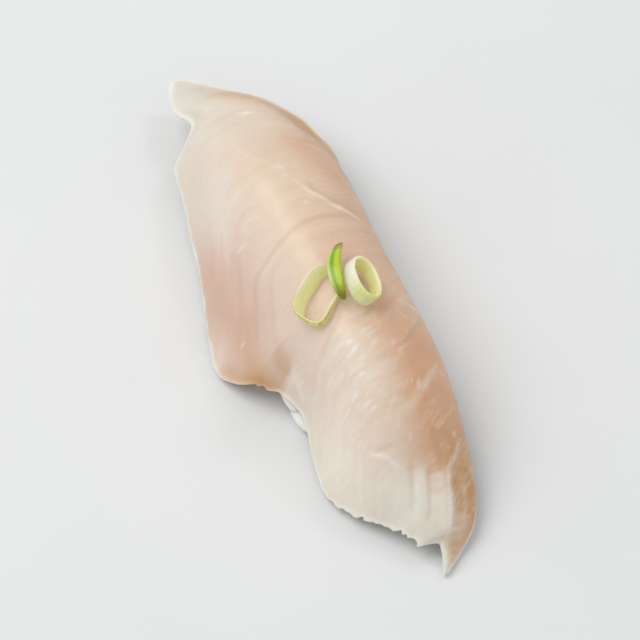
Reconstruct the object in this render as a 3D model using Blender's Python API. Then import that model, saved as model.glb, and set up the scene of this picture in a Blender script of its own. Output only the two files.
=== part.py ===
"""Albacore nigiri: a wide raw slice over a pressed rice ball, with three cut pieces of scallion on top.

Metres, +Z up. The origin is the middle of the rice ball's flat base. +X runs along the slice, from its
blunt tail to its torn head, and -Y is the near side, where a lobe of the slice hangs lowest. The sizes
below are in millimetres and degrees, and every mesh is scaled to metres as it is made.
"""

import math
import random

import bmesh
import bpy
from mathutils import Vector, noise
from mathutils.bvhtree import BVHTree

MM = 0.001
GAP = 0.35  # clearance between neighbouring pieces
STEP = 0.05  # a piece is moved in steps of this size until it clears its neighbours

# The slice hangs by three lines along its length: its near edge, its crest and its far edge. An edge's
# last number is the angle, from upright, at which the slice meets it: it flares outwards, or tucks in
# where that is negative.
NEAR_EDGE = [  # x, y, z, flare
    (-48.9, -2.9, 6.2, 40), (-43.0, -4.9, 7.6, 50), (-39.0, -3.7, 8.4, 50), (-36.9, -5.8, 7.2, 44),
    (-34.1, -9.4, 5.0, 36), (-29.2, -10.4, 3.4, 26), (-22.0, -12.6, 2.4, 25), (-17.0, -13.9, 1.8, 26),
    (-4.0, -18.6, 1.0, 36), (1.5, -20.0, 1.2, 38), (5.4, -18.8, 3.2, 38), (8.9, -16.1, 5.6, 36),
    (12.6, -13.6, 5.8, 30), (16.6, -12.4, 4.4, 22), (24.0, -14.1, 1.6, 26), (29.4, -15.1, 1.6, 36),
    (35.7, -13.0, 2.6, 40), (40.4, -9.5, 3.5, 44), (43.9, -7.3, 4.0, 46), (46.0, -6.3, 3.6, 44),
    (46.7, -3.6, 3.0, 36), (51.0, -5.2, 0.6, 30),
]
CREST = [  # x, y, z
    (-48.9, -2.1, 6.8), (-44.0, -0.6, 8.8), (-38.0, 0.6, 12.4), (-32.0, 0.8, 16.6), (-25.0, 0.8, 20.0),
    (-14.0, 0.2, 22.3), (0.0, -0.3, 23.0), (14.0, -0.8, 22.3), (24.0, -1.4, 19.6), (31.0, -2.0, 15.8),
    (38.0, -2.6, 10.3), (42.5, -2.2, 7.6), (46.5, -1.5, 4.8), (49.0, -2.9, 2.7), (51.0, -4.7, 1.1),
]
FAR_EDGE = [  # x, y, z, flare
    (-48.9, -1.2, 6.7, 20), (-47.6, 0.9, 7.0, 36), (-44.0, 3.4, 8.2, 56), (-40.9, 5.8, 9.2, 64),
    (-38.1, 8.0, 10.0, 66), (-34.4, 10.3, 10.6, 66), (-30.5, 12.2, 10.8, 62), (-26.4, 13.4, 10.4, 54),
    (-22.6, 14.4, 9.5, 38), (-19.0, 14.3, 7.7, 14), (-14.0, 13.4, 6.2, -6), (-7.0, 12.3, 5.2, -14),
    (0.0, 11.4, 4.6, -16), (20.0, 10.6, 4.4, -14), (35.0, 8.0, 4.0, -10), (42.0, 5.6, 3.2, -5),
    (46.5, 2.6, 2.4, 0), (49.4, -1.6, 1.2, 0), (51.0, -4.2, 0.8, 0),
]
SHOULDER = 0.68  # how far the crest runs level before it turns down, as a share of the half width
SHOULDER_WIDEST = 8.0
FALL = 0.54  # how far an edge's own slope carries up the side, as a share of the height
THICK = 4.6
EDGE_THICK = 1.2
TAPER = 17.0  # distance from the edge over which the slice thickens
RIM_ROUND = 0.35  # how far its rim bulges out, as a share of the thickness there
LOWEST = 0.4  # height of its lowest edges over what the rice rests on
WAVE = 0.3  # height of its slow unevenness, which fades out near the edges
WAVE_LENGTH = 13.0
WAVE_FADE = 6.0
FLAKE_EDGE = ((37.0, 3.5), (46.3, -1.4))  # the flake on top of its torn head ends along this line, x and y
FLAKE_DROP = 0.7
FLAKE_WIDTH = 1.2
FLAKE_RUN = 5.0  # distance over which the surface beyond the flake comes back up
FLAKE_START = 0.35  # share of the line over which the flake's edge rises from nothing
ALONG = 74  # faces along it and across it
ACROSS = 20
CURVE_STEPS = 40  # straight pieces in each of the two curves of a cross-section

# The rice ball: a loaf pressed from loose grains, flat underneath.
RICE_LENGTH = 62.0
RICE_WIDTH = 21.8
RICE_SIDE = -0.7  # its middle line is this far off the slice's, towards the near side
RICE_HEIGHT = 21.0
RICE_MIDDLE = 5.5  # height of the loaf's widest level
RICE_BELOW = 8.3  # how far it would reach below that level, if it weren't cut flat at z = 0
RICE_BOXINESS = 2.6  # 2 is an ellipsoid, more is a box with round corners
RICE_SPINE = 0.8  # each of its points is reached from a line along its middle, of this share of its length
RICE_SKIN = 0.6  # how far the grains stand out of the core
CORE_GAP = 0.5  # clearance of the core's corners, whose flat faces come nearer to the slice
CORE_DETAIL = 4  # subdivisions of the ball that the core is shaped from
GRAIN_LENGTH = 5.8
GRAIN_WIDTH = 2.5
GRAIN_FLATNESS = 0.85
GRAIN_RINGS = [(-0.56, 0.74), (0.0, 1.0), (0.56, 0.78)]  # place along the half length, share of the width
GRAIN_SIDES = 6
GRAIN_SUNK = 0.4  # the share of a grain's width between its middle and the rice ball's surface
GRAIN_SPACING = 2.8
GRAIN_LOWEST = 0.15
GRAIN_STEEPEST = -0.5  # none lie where the surface faces further down than this
GRAIN_CREASE = 40.0  # edges sharper than this stay sharp
GRAIN_TRIES = 6000
NOTCH_GRAINS = [  # grains that stand out beside the slice's notch: x, y, z and their rise along +X in degrees
    (13.8, -10.9, 2.7, 12.0), (12.3, -12.0, 3.2, -14.0), (15.5, -11.8, 1.95, -8.0),
]
SEED = 11

# The scallion: an oval ring lies on the near slope, a second ring leans on it from the far slope, and a
# green curl lies across the oval, against the other. "at" is x and y on the slice, "turn" is the long axis
# against +X, "blunt" is an oval's shape (1 is an ellipse, less has fuller ends), "narrowing" makes one end
# narrower, "heights" are those of its wall on its low and its high side, "flare" is how far the high side
# opens outwards, and "lean" is its tilt.
OVAL = {
    "at": (8.05, -3.6), "half": (5.1, 2.4), "blunt": 0.64, "narrowing": 0.2, "wall": 0.55,
    "heights": (1.3, 2.9), "flare": 0.45, "turn": 116.0, "lean": 0.0,
}
ROUND = {
    "at": (9.4, 1.15), "half": (4.1, 2.85), "blunt": 0.95, "narrowing": 0.0, "wall": 0.7,
    "heights": (2.7, 2.7), "flare": 0.0, "turn": -12.0, "lean": 33.0,
}
CURL = {
    "at": (6.3, 0.0), "half_length": 5.7, "half_width": 1.4, "half_thick": 0.42,
    "bulge": 1.7, "bulge_from": 0.6, "droop": 1.9, "turn": -25.0, "lean": 30.0,
}
WALL_BEVEL = 0.15  # how much of its height a ring's wall is rounded over, above and below
WALL_TOP = (0.2, 0.8)  # the flat stretch of its upper rim and of its underside, as shares of the wall
WALL_UNDER = (0.12, 0.88)
HIGH_SIDE_BLUNT = 0.5  # below 1, a wall stays high along most of its high side
RING_STEPS = 28
CURL_STEPS = 14
CURL_SIDES = 8

# Base colour and roughness of each material.
FINISHES = {
    "albacore": ((0.74, 0.56, 0.43), 0.40),
    "cooked_rice": ((0.86, 0.83, 0.76), 0.45),
    "scallion_pale": ((0.70, 0.71, 0.36), 0.35),
    "scallion_white": ((0.80, 0.80, 0.58), 0.35),
    "scallion_green": ((0.31, 0.44, 0.05), 0.35),
}


def clear_scene():
    for obj in list(bpy.data.objects):
        bpy.data.objects.remove(obj)


def material(name):
    colour, roughness = FINISHES[name]
    made = bpy.data.materials.new(name)
    made.use_nodes = True
    shader = made.node_tree.nodes["Principled BSDF"]
    shader.inputs["Base Color"].default_value = (*colour, 1.0)
    shader.inputs["Roughness"].default_value = roughness
    shader.inputs["Metallic"].default_value = 0.0
    return made


def add_object(name, points, faces, finish):
    """A smooth-shaded object from points in millimetres."""
    mesh = bpy.data.meshes.new(name)
    mesh.from_pydata([Vector(p) * MM for p in points], [], faces)
    mesh.update()
    mesh.shade_smooth()
    mesh.materials.append(finish)
    obj = bpy.data.objects.new(name, mesh)
    bpy.context.scene.collection.objects.link(obj)
    return obj


def smooth_step(t):
    t = min(1.0, max(0.0, t))
    return t * t * (3.0 - 2.0 * t)


def limited_slope(a, b):
    """The slope between two straight runs of slope a and b: none at a peak, or their harmonic mean."""
    return 0.0 if a * b <= 0 else 2 * a * b / (a + b)


def along(rows, x):
    """The values of rows at x, on a smooth curve through them that doesn't overshoot."""
    last = len(rows) - 1
    x = min(max(x, rows[0][0]), rows[-1][0])
    i = next((k for k in range(last) if x <= rows[k + 1][0]), last - 1)
    span = rows[i + 1][0] - rows[i][0]
    t = (x - rows[i][0]) / span
    values = []
    for k in range(1, len(rows[0])):
        slopes = [
            (rows[j + 1][k] - rows[j][k]) / (rows[j + 1][0] - rows[j][0])
            for j in (max(i - 1, 0), i, min(i + 1, last - 1))
        ]
        before = limited_slope(slopes[0], slopes[1])
        after = limited_slope(slopes[1], slopes[2])
        values.append(
            rows[i][k] * (1 + 2 * t) * (1 - t) ** 2
            + before * span * t * (1 - t) ** 2
            + rows[i + 1][k] * t * t * (3 - 2 * t)
            + after * span * t * t * (t - 1)
        )
    return values


def bezier(a, b, c, d, t):
    return a * (1 - t) ** 3 + b * 3 * t * (1 - t) ** 2 + c * 3 * t * t * (1 - t) + d * t ** 3


def side_of_arch(edge, crest, flare, outwards):
    """The four control points of the slice's fall from its crest to one edge, at the edge's own x."""
    angle = math.radians(flare)
    climb = (crest.z - edge.z) * FALL
    up_from_edge = edge + Vector((0, -outwards * math.sin(angle), math.cos(angle))) * climb
    shoulder = min(abs(crest.y - edge.y) * SHOULDER, SHOULDER_WIDEST)
    level = crest + Vector((0, outwards * shoulder, 0))
    return edge, up_from_edge, level, crest


def section(x):
    """The slice's outer line at x, from its near edge over the crest to its far edge."""
    near_y, near_z, near_flare = along(NEAR_EDGE, x)
    crest_y, crest_z = along(CREST, x)
    far_y, far_z, far_flare = along(FAR_EDGE, x)
    crest = Vector((x, crest_y, crest_z))
    near = side_of_arch(Vector((x, near_y, near_z)), crest, near_flare, -1)
    far = side_of_arch(Vector((x, far_y, far_z)), crest, far_flare, 1)
    rising = [bezier(*near, k / CURVE_STEPS) for k in range(CURVE_STEPS + 1)]
    falling = [bezier(*far, 1 - k / CURVE_STEPS) for k in range(1, CURVE_STEPS + 1)]
    return rising + falling


def resampled(line, count):
    """count + 1 points evenly along a line, and how far along it each one is."""
    reach = [0.0]
    for a, b in zip(line, line[1:]):
        reach.append(reach[-1] + (b - a).length)
    points, distances, j = [], [], 0
    for k in range(count + 1):
        want = reach[-1] * k / count
        while j < len(line) - 2 and reach[j + 1] < want:
            j += 1
        share = (want - reach[j]) / max(reach[j + 1] - reach[j], 1e-9)
        points.append(line[j].lerp(line[j + 1], min(1.0, share)))
        distances.append(want)
    return points, distances


def flake_drop(p):
    """How much lower the surface lies beyond the edge of the head's top flake."""
    start, end = (Vector(corner) for corner in FLAKE_EDGE)
    line, offset = end - start, p.xy - start
    beyond = line.cross(offset) / line.length
    rise = smooth_step(line.dot(offset) / line.length_squared / FLAKE_START)
    fade = 1 - smooth_step((beyond - FLAKE_WIDTH) / FLAKE_RUN)
    return FLAKE_DROP * smooth_step(beyond / FLAKE_WIDTH) * fade * rise


def outer_grid():
    """The slice's top surface as rows of points, and each point's distance from the nearer side edge."""
    tail, head = CREST[0][0], CREST[-1][0]
    grid, depth = [], []
    for i in range(ALONG + 1):
        even = i / ALONG
        crowded = (1 - math.cos(math.pi * even)) / 2
        row, reach = resampled(section(tail + (head - tail) * (even + crowded) / 2), ACROSS)
        grid.append(row)
        depth.append([min(r, reach[-1] - r) for r in reach])
    for row, depths in zip(grid, depth):
        for p, d in zip(row, depths):
            p.z += WAVE * smooth_step(d / WAVE_FADE) * noise.noise(p / WAVE_LENGTH) - flake_drop(p)
    return grid, depth


def inner_grid(outer, depth):
    """The slice's underside: the top surface moved in by the thickness, which tapers towards the edges."""
    inner = []
    for i, row in enumerate(outer):
        before, after = outer[max(i - 1, 0)], outer[min(i + 1, ALONG)]
        inner.append([])
        for j, p in enumerate(row):
            across = row[min(j + 1, ACROSS)] - row[max(j - 1, 0)]
            normal = (after[j] - before[j]).cross(across).normalized()
            thick = EDGE_THICK + (THICK - EDGE_THICK) * smooth_step(depth[i][j] / TAPER)
            inner[i].append(p - normal * thick)
    return inner


def perimeter():
    """The grid's border as (i, j), once round."""
    loop = [(i, 0) for i in range(ALONG)]
    loop += [(ALONG, j) for j in range(ACROSS)]
    loop += [(i, ACROSS) for i in range(ALONG, 0, -1)]
    loop += [(0, j) for j in range(ACROSS, 0, -1)]
    return loop


def rim_point(outer, inner, i, j):
    """A point between both surfaces' edges, moved out a little, so that the slice's rim is round."""
    inward = outer[min(max(i, 1), ALONG - 1)][min(max(j, 1), ACROSS - 1)]
    away = (outer[i][j] - inward).normalized()
    thickness = (outer[i][j] - inner[i][j]).length
    return (outer[i][j] + inner[i][j]) / 2 + away * thickness * RIM_ROUND


def make_slice(finish):
    outer, depth = outer_grid()
    inner = inner_grid(outer, depth)
    loop = perimeter()
    width = ACROSS + 1
    points = [p for grid in (outer, inner) for row in grid for p in row]
    under, rim = len(points) // 2, len(points)
    points += [rim_point(outer, inner, i, j) for i, j in loop]
    for p in points:
        p.z = max(p.z, LOWEST)
    faces = []
    for i in range(ALONG):
        for j in range(ACROSS):
            a = i * width + j
            faces.append((a, a + width, a + width + 1, a + 1))
            faces.append((under + a, under + a + 1, under + a + width + 1, under + a + width))
    for k, (i, j) in enumerate(loop):
        m, n = loop[(k + 1) % len(loop)]
        a, b = i * width + j, m * width + n
        p, q = rim + k, rim + (k + 1) % len(loop)
        faces += [(b, a, p, q), (q, p, under + a, under + b)]
    return add_object("albacore_slice", points, faces, finish)


def surface_tree(obj):
    """An object's surface, in metres, for distances and rays."""
    bm = bmesh.new()
    bm.from_mesh(obj.data)
    tree = BVHTree.FromBMesh(bm)
    bm.free()
    return tree


def clearance(trees, points):
    """How far the points, in millimetres, stay outside the surfaces. Inside one it is negative.

    A point beyond a sharp edge can lie just behind the plane of its nearest face, so only one that is well
    behind the plane counts as inside.
    """
    least = math.inf
    for tree in trees:
        for point in points:
            spot, normal, _, distance = tree.find_nearest(point * MM)
            inside = (point * MM - spot).dot(normal) < -distance / 2
            least = min(least, -distance / MM if inside else distance / MM)
    return least


def loaf_reach(direction):
    """How far the bare loaf reaches from its middle in a direction."""
    half_height = RICE_HEIGHT - RICE_MIDDLE if direction.z > 0 else RICE_BELOW
    sizes = (RICE_LENGTH / 2, RICE_WIDTH / 2, half_height)
    total = sum((abs(d) / s) ** RICE_BOXINESS for d, s in zip(direction, sizes))
    return total ** (-1 / RICE_BOXINESS)


def draw_in(bm, slice_tree):
    """Where the core's faces still cut the slice between their corners, they are drawn in sideways."""
    while True:
        bm.faces.ensure_lookup_table()
        cutting = {face for face, _ in BVHTree.FromBMesh(bm).overlap(slice_tree)}
        if not cutting:
            return
        for vertex in {v for face in cutting for v in bm.faces[face].verts}:
            vertex.co.y += math.copysign(2 * STEP * MM, RICE_SIDE * MM - vertex.co.y)


def make_core(slice_tree, finish):
    """The rice ball without its grains: a loaf pressed up against the slice, and flat at z = 0."""
    bm = bmesh.new()
    bmesh.ops.create_icosphere(bm, subdivisions=CORE_DETAIL, radius=1.0)
    for vertex in bm.verts:
        direction = vertex.co.normalized()
        spot = direction * loaf_reach(direction)
        spot += Vector((0, RICE_SIDE, RICE_MIDDLE))
        start = Vector((spot.x * RICE_SPINE, RICE_SIDE, RICE_MIDDLE))
        way = (spot - start).normalized()
        reach = (spot - start).length - RICE_SKIN
        hit, _, _, distance = slice_tree.ray_cast(start * MM, way)
        if hit is not None:
            reach = min(reach, distance / MM)
        while clearance([slice_tree], [start + way * reach]) < CORE_GAP:
            reach -= STEP
        point = start + way * reach
        point.z = max(0.0, point.z)
        vertex.co = point * MM
    draw_in(bm, slice_tree)
    mesh = bpy.data.meshes.new("rice_ball")
    bm.to_mesh(mesh)
    bm.free()
    mesh.materials.append(finish)
    obj = bpy.data.objects.new("rice_ball", mesh)
    bpy.context.scene.collection.objects.link(obj)
    return obj


def grain_points(centre, lengthwise, outwards):
    """One rice grain: two tips, and three rings between them."""
    sideways = lengthwise.cross(outwards).normalized()
    points = [centre - lengthwise * GRAIN_LENGTH / 2]
    for share, plump in GRAIN_RINGS:
        for k in range(GRAIN_SIDES):
            angle = 2 * math.pi * k / GRAIN_SIDES
            spoke = sideways * math.cos(angle) + outwards * math.sin(angle) * GRAIN_FLATNESS
            points.append(centre + lengthwise * share * GRAIN_LENGTH / 2 + spoke * plump * GRAIN_WIDTH / 2)
    points.append(centre + lengthwise * GRAIN_LENGTH / 2)
    return points


def grain_faces():
    """The faces over grain_points."""
    faces, last = [], 3 * GRAIN_SIDES + 1
    for k in range(GRAIN_SIDES):
        turn = (k + 1) % GRAIN_SIDES
        faces.append((0, 1 + turn, 1 + k))
        faces.append((last, last - GRAIN_SIDES + k, last - GRAIN_SIDES + turn))
        for ring in (1, 1 + GRAIN_SIDES):
            faces.append((ring + k, ring + turn, ring + turn + GRAIN_SIDES, ring + k + GRAIN_SIDES))
    return faces


def crosses(points, tree):
    """Whether a grain's faces cut a surface between their corners."""
    grain = BVHTree.FromPolygons([p * MM for p in points], grain_faces())
    return bool(grain.overlap(tree))


def random_spot(core, picker):
    """A random point of the core's surface, and the way out of it there."""
    face = picker.choice(core.data.polygons)
    corners = [core.data.vertices[v].co / MM for v in face.vertices]
    shares = sorted((picker.random(), picker.random()))
    spot = corners[0] * shares[0] + corners[1] * (shares[1] - shares[0]) + corners[2] * (1 - shares[1])
    return spot, face.normal.copy()


def add_grain(group, points, finish):
    grain = add_object("grain", points, grain_faces(), finish)
    bpy.context.scene.collection.objects.unlink(grain)
    group.objects.link(grain)


def scatter_grains(core, slice_tree, finish):
    """Grains over the core's open sides and ends, spread evenly, none below its base or near the slice."""
    picker = random.Random(SEED)
    group = bpy.data.collections.new("grains")
    placed = []
    for x, y, z, rise in NOTCH_GRAINS:
        centre, angle = Vector((x, y, z)), math.radians(rise)
        lengthwise = Vector((math.cos(angle), 0, math.sin(angle)))
        add_grain(group, grain_points(centre, lengthwise, Vector((0, -1, 0))), finish)
        placed.append(centre)
    for _ in range(GRAIN_TRIES):
        spot, outwards = random_spot(core, picker)
        anywhere = Vector([picker.gauss(0, 1) for _ in range(3)])
        tangent = outwards.cross(anywhere).normalized()
        centre = spot + outwards * (RICE_SKIN - GRAIN_WIDTH * GRAIN_SUNK)
        if outwards.z < GRAIN_STEEPEST or any((centre - other).length < GRAIN_SPACING for other in placed):
            continue
        points = grain_points(centre, tangent, outwards)
        lift = max(0.0, GRAIN_LOWEST - min(p.z for p in points))
        points = [p + Vector((0, 0, lift)) for p in points]
        if lift > GRAIN_WIDTH / 2 or clearance([slice_tree], points) < GAP or crosses(points, slice_tree):
            continue
        placed.append(centre)
        add_grain(group, points, finish)
    return group


def largest_shell(bm):
    """Only the largest connected shell stays, so loose scraps and sealed hollows go."""
    left, shells = set(bm.faces), []
    while left:
        queue = [left.pop()]
        shell = set(queue)
        while queue:
            for edge in queue.pop().edges:
                for face in edge.link_faces:
                    if face in left:
                        left.remove(face)
                        shell.add(face)
                        queue.append(face)
        shells.append(shell)
    shells.sort(key=len, reverse=True)
    spare = [face for shell in shells[1:] for face in shell]
    bmesh.ops.delete(bm, geom=spare, context="FACES")


def fuse(core, group):
    """One union of the core with the grains, which are then removed."""
    join = core.modifiers.new("grains", "BOOLEAN")
    join.operation = "UNION"
    join.solver = "EXACT"
    join.operand_type = "COLLECTION"
    join.collection = group
    fused = bpy.data.meshes.new_from_object(core.evaluated_get(bpy.context.evaluated_depsgraph_get()))
    core.modifiers.clear()
    for grain in list(group.objects):
        bpy.data.objects.remove(grain)
    bpy.data.collections.remove(group)
    bm = bmesh.new()
    bm.from_mesh(fused)
    largest_shell(bm)
    bm.to_mesh(fused)
    bm.free()
    core.data = fused
    fused.shade_smooth()
    fused.set_sharp_from_angle(angle=math.radians(GRAIN_CREASE))


def seat(tree, at, turn):
    """The slice's surface at (x, y) of it, as a point with its long, cross and outward directions."""
    above = Vector((at[0], at[1], RICE_HEIGHT * 3))
    spot, outwards, _, _ = tree.ray_cast(above * MM, Vector((0, 0, -1)))
    angle = math.radians(turn)
    heading = Vector((math.cos(angle), math.sin(angle), 0))
    cross = outwards.cross(heading).normalized()
    return spot / MM, cross.cross(outwards), cross, outwards


def settled(points, faces, trees):
    """The points, moved straight up until they and their faces clear what they lie on by GAP."""
    middles = [sum((points[i] for i in face), Vector()) / len(face) for face in faces]
    lift = Vector((0, 0, 0))
    while clearance(trees, [p + lift for p in points + middles]) < GAP:
        lift.z += STEP
    return [p + lift for p in points]


def ring_faces(sides):
    """The faces of a closed ring of RING_STEPS cross-sections with so many corners each."""
    faces = []
    for k in range(RING_STEPS):
        here, beyond = k * sides, (k + 1) % RING_STEPS * sides
        for side in range(sides):
            turn = (side + 1) % sides
            faces.append((here + side, beyond + side, beyond + turn, here + turn))
    return faces


def blunted(value, power):
    """A cosine or sine raised to a power, with its sign kept."""
    return math.copysign(abs(value) ** power, value)


def ring_section():
    """A scallion wall's cross-section, as shares of the way to its inner side and of its height."""
    low, high = WALL_BEVEL, 1 - WALL_BEVEL
    return [
        (WALL_UNDER[0], 0.0), (0.0, low), (0.0, high), (WALL_TOP[0], 1.0), (WALL_TOP[1], 1.0),
        (1.0, high), (1.0, low), (WALL_UNDER[1], 0.0),
    ]


def make_ring(name, shape, neighbours, finish):
    """A cut ring of scallion. One that doesn't lean follows the slice, and one that does stays flat."""
    tree = neighbours[0]
    base, lengthwise, cross, outwards = seat(tree, shape["at"], shape["turn"])
    lean = math.radians(shape["lean"])
    axis = outwards * math.cos(lean) + cross * math.sin(lean)
    level = cross * math.cos(lean) - outwards * math.sin(lean)
    corners = ring_section()
    lowest, highest = shape["heights"]
    points = []
    for k in range(RING_STEPS):
        angle = 2 * math.pi * k / RING_STEPS
        long_reach = shape["half"][0] * blunted(math.cos(angle), shape["blunt"])
        cross_reach = shape["half"][1] * blunted(math.sin(angle), shape["blunt"])
        cross_reach *= 1 - shape["narrowing"] * math.cos(angle)
        high_side = (1 + blunted(math.sin(angle), HIGH_SIDE_BLUNT)) / 2
        wall_height = lowest + (highest - lowest) * high_side
        for inset, share in corners:
            keep = 1 - inset * shape["wall"] / math.hypot(long_reach, cross_reach)
            spot = base + lengthwise * long_reach * keep + level * cross_reach * keep
            if lean == 0:
                spot = tree.ray_cast((spot + outwards * shape["half"][0]) * MM, -outwards)[0] / MM
            height = share * wall_height
            points.append(spot + axis * (GAP + height) + level * shape["flare"] * high_side * height)
    faces = ring_faces(len(corners))
    return add_object(name, settled(points, faces, neighbours), faces, finish)


def make_curl(neighbours, finish):
    """A strip of green scallion, bowed towards the near side, its face up and its ends drooping."""
    base, lengthwise, cross, outwards = seat(neighbours[0], CURL["at"], CURL["turn"])
    lean = math.radians(CURL["lean"])
    face = outwards * math.cos(lean) - cross * math.sin(lean)
    breadth = outwards * math.sin(lean) + cross * math.cos(lean)

    def middle(s):
        bow = cross * (s * s - CURL["bulge_from"]) * CURL["bulge"]
        return base + lengthwise * s * CURL["half_length"] + bow - outwards * s * s * CURL["droop"]

    points = []
    for k in range(1, CURL_STEPS):
        s = 2 * k / CURL_STEPS - 1
        centre = middle(s)
        wide = CURL["half_width"] * math.sqrt(1 - s * s)
        thick = CURL["half_thick"] * math.sqrt(1 - s ** 4)
        for side in range(CURL_SIDES):
            angle = 2 * math.pi * side / CURL_SIDES
            points.append(centre + breadth * wide * math.cos(angle) + face * thick * math.sin(angle))
    ends = [middle(-1), middle(1)]
    first, last = len(points), len(points) + 1
    final = (CURL_STEPS - 2) * CURL_SIDES
    faces = []
    for side in range(CURL_SIDES):
        turn = (side + 1) % CURL_SIDES
        faces += [(first, turn, side), (last, final + side, final + turn)]
        for k in range(CURL_STEPS - 2):
            row = k * CURL_SIDES
            faces.append((row + side, row + turn, row + CURL_SIDES + turn, row + CURL_SIDES + side))
    return add_object("scallion_curl", settled(points + ends, faces, neighbours), faces, finish)


def build():
    clear_scene()
    fish_tree = surface_tree(make_slice(material("albacore")))
    grain_finish = material("cooked_rice")
    rice = make_core(fish_tree, grain_finish)
    fuse(rice, scatter_grains(rice, fish_tree, grain_finish))
    under = [fish_tree]
    under.append(surface_tree(make_ring("scallion_oval", OVAL, under, material("scallion_pale"))))
    under.append(surface_tree(make_ring("scallion_ring", ROUND, under, material("scallion_white"))))
    make_curl(under, material("scallion_green"))


build()
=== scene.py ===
"""Albacore nigiri: the looks of the raw slice, of the rice under it and of the scallion on top.

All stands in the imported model's own frame, in metres with +Z up: +X runs along the slice from its tail to
its torn head, and -Y is the side with the lobe. Sizes and places below are in millimetres, apart from the
floor's reach, the lights and the camera's distance and clipping, in metres.
"""

import math
import random

import bmesh
import bpy
import numpy as np
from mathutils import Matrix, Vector, noise
from mathutils.bvhtree import BVHTree


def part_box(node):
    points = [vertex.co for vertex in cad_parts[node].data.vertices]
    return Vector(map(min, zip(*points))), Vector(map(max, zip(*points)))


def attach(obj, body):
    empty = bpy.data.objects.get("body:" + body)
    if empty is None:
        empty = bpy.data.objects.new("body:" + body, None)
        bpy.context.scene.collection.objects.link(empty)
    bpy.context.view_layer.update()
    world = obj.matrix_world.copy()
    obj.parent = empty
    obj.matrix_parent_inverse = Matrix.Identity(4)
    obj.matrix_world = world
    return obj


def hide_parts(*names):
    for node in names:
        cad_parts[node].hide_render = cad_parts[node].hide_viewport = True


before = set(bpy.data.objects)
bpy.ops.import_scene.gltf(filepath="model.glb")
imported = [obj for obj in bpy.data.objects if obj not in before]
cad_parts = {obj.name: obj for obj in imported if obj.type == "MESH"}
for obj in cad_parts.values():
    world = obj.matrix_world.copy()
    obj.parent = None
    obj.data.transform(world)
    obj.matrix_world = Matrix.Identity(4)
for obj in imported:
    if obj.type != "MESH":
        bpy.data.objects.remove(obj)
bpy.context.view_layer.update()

MM = 0.001

# The slice's form, as its solid has it: its near edge, crest and far edge along its length. An edge's last
# number is the angle from upright at which the slice meets it.
NEAR_EDGE = [  # x, y, z, flare
    (-48.9, -2.9, 6.2, 40), (-43.0, -4.9, 7.6, 50), (-39.0, -3.7, 8.4, 50), (-36.9, -5.8, 7.2, 44),
    (-34.1, -9.4, 5.0, 36), (-29.2, -10.4, 3.4, 26), (-22.0, -12.6, 2.4, 25), (-17.0, -13.9, 1.8, 26),
    (-4.0, -18.6, 1.0, 36), (1.5, -20.0, 1.2, 38), (5.4, -18.8, 3.2, 38), (8.9, -16.1, 5.6, 36),
    (12.6, -13.6, 5.8, 30), (16.6, -12.4, 4.4, 22), (24.0, -14.1, 1.6, 26), (29.4, -15.1, 1.6, 36),
    (35.7, -13.0, 2.6, 40), (40.4, -9.5, 3.5, 44), (43.9, -7.3, 4.0, 46), (46.0, -6.3, 3.6, 44),
    (46.7, -3.6, 3.0, 36), (51.0, -5.2, 0.6, 30),
]
CREST = [  # x, y, z
    (-48.9, -2.1, 6.8), (-44.0, -0.6, 8.8), (-38.0, 0.6, 12.4), (-32.0, 0.8, 16.6), (-25.0, 0.8, 20.0),
    (-14.0, 0.2, 22.3), (0.0, -0.3, 23.0), (14.0, -0.8, 22.3), (24.0, -1.4, 19.6), (31.0, -2.0, 15.8),
    (38.0, -2.6, 10.3), (42.5, -2.2, 7.6), (46.5, -1.5, 4.8), (49.0, -2.9, 2.7), (51.0, -4.7, 1.1),
]
FAR_EDGE = [  # x, y, z, flare
    (-48.9, -1.2, 6.7, 20), (-47.6, 0.9, 7.0, 36), (-44.0, 3.4, 8.2, 56), (-40.9, 5.8, 9.2, 64),
    (-38.1, 8.0, 10.0, 66), (-34.4, 10.3, 10.6, 66), (-30.5, 12.2, 10.8, 62), (-26.4, 13.4, 10.4, 54),
    (-22.6, 14.4, 9.5, 38), (-19.0, 14.3, 7.7, 14), (-14.0, 13.4, 6.2, -6), (-7.0, 12.3, 5.2, -14),
    (0.0, 11.4, 4.6, -16), (20.0, 10.6, 4.4, -14), (35.0, 8.0, 4.0, -10), (42.0, 5.6, 3.2, -5),
    (46.5, 2.6, 2.4, 0), (49.4, -1.6, 1.2, 0), (51.0, -4.2, 0.8, 0),
]
SHOULDER = 0.68  # the crest runs level over this share of the way to an edge, but not further than
SHOULDER_WIDEST = 8.0
FALL = 0.54  # a side keeps its slope at the edge over about this share of its climb
THICK = 4.6
EDGE_THICK = 1.2
TAPER = 17.0  # from the edge inwards, the slice reaches its full thickness over this distance
THICKEST_SHARE = 0.7  # but it takes up no more than this share of its height over its lowest level,
LEAST_ROOM = 0.1  # which counts as this much at least
RIM_ROUND = 0.35  # how far the cut edge bulges, as a share of its thickness
LOWEST = 0.4
WAVE = (0.3, 13.0)  # gentle waves of the surface, as height and size, which fade towards the edges
WAVE_FADE = 6.0
FLAKE_EDGE = ((37.0, 3.5), (46.3, -1.4))  # of the head's top flake; the surface drops beyond it
FLAKE_DROP = 0.7
FLAKE_WIDTH = 1.2
FLAKE_RUN = 5.0
FLAKE_START = 0.35
ALONG = 400  # faces of the finished slice along it and across it
ACROSS = 208
CURVE_STEPS = 60
RIM_STEPS = 4
COARSER = 4  # the underside has so many times fewer faces each way

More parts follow.
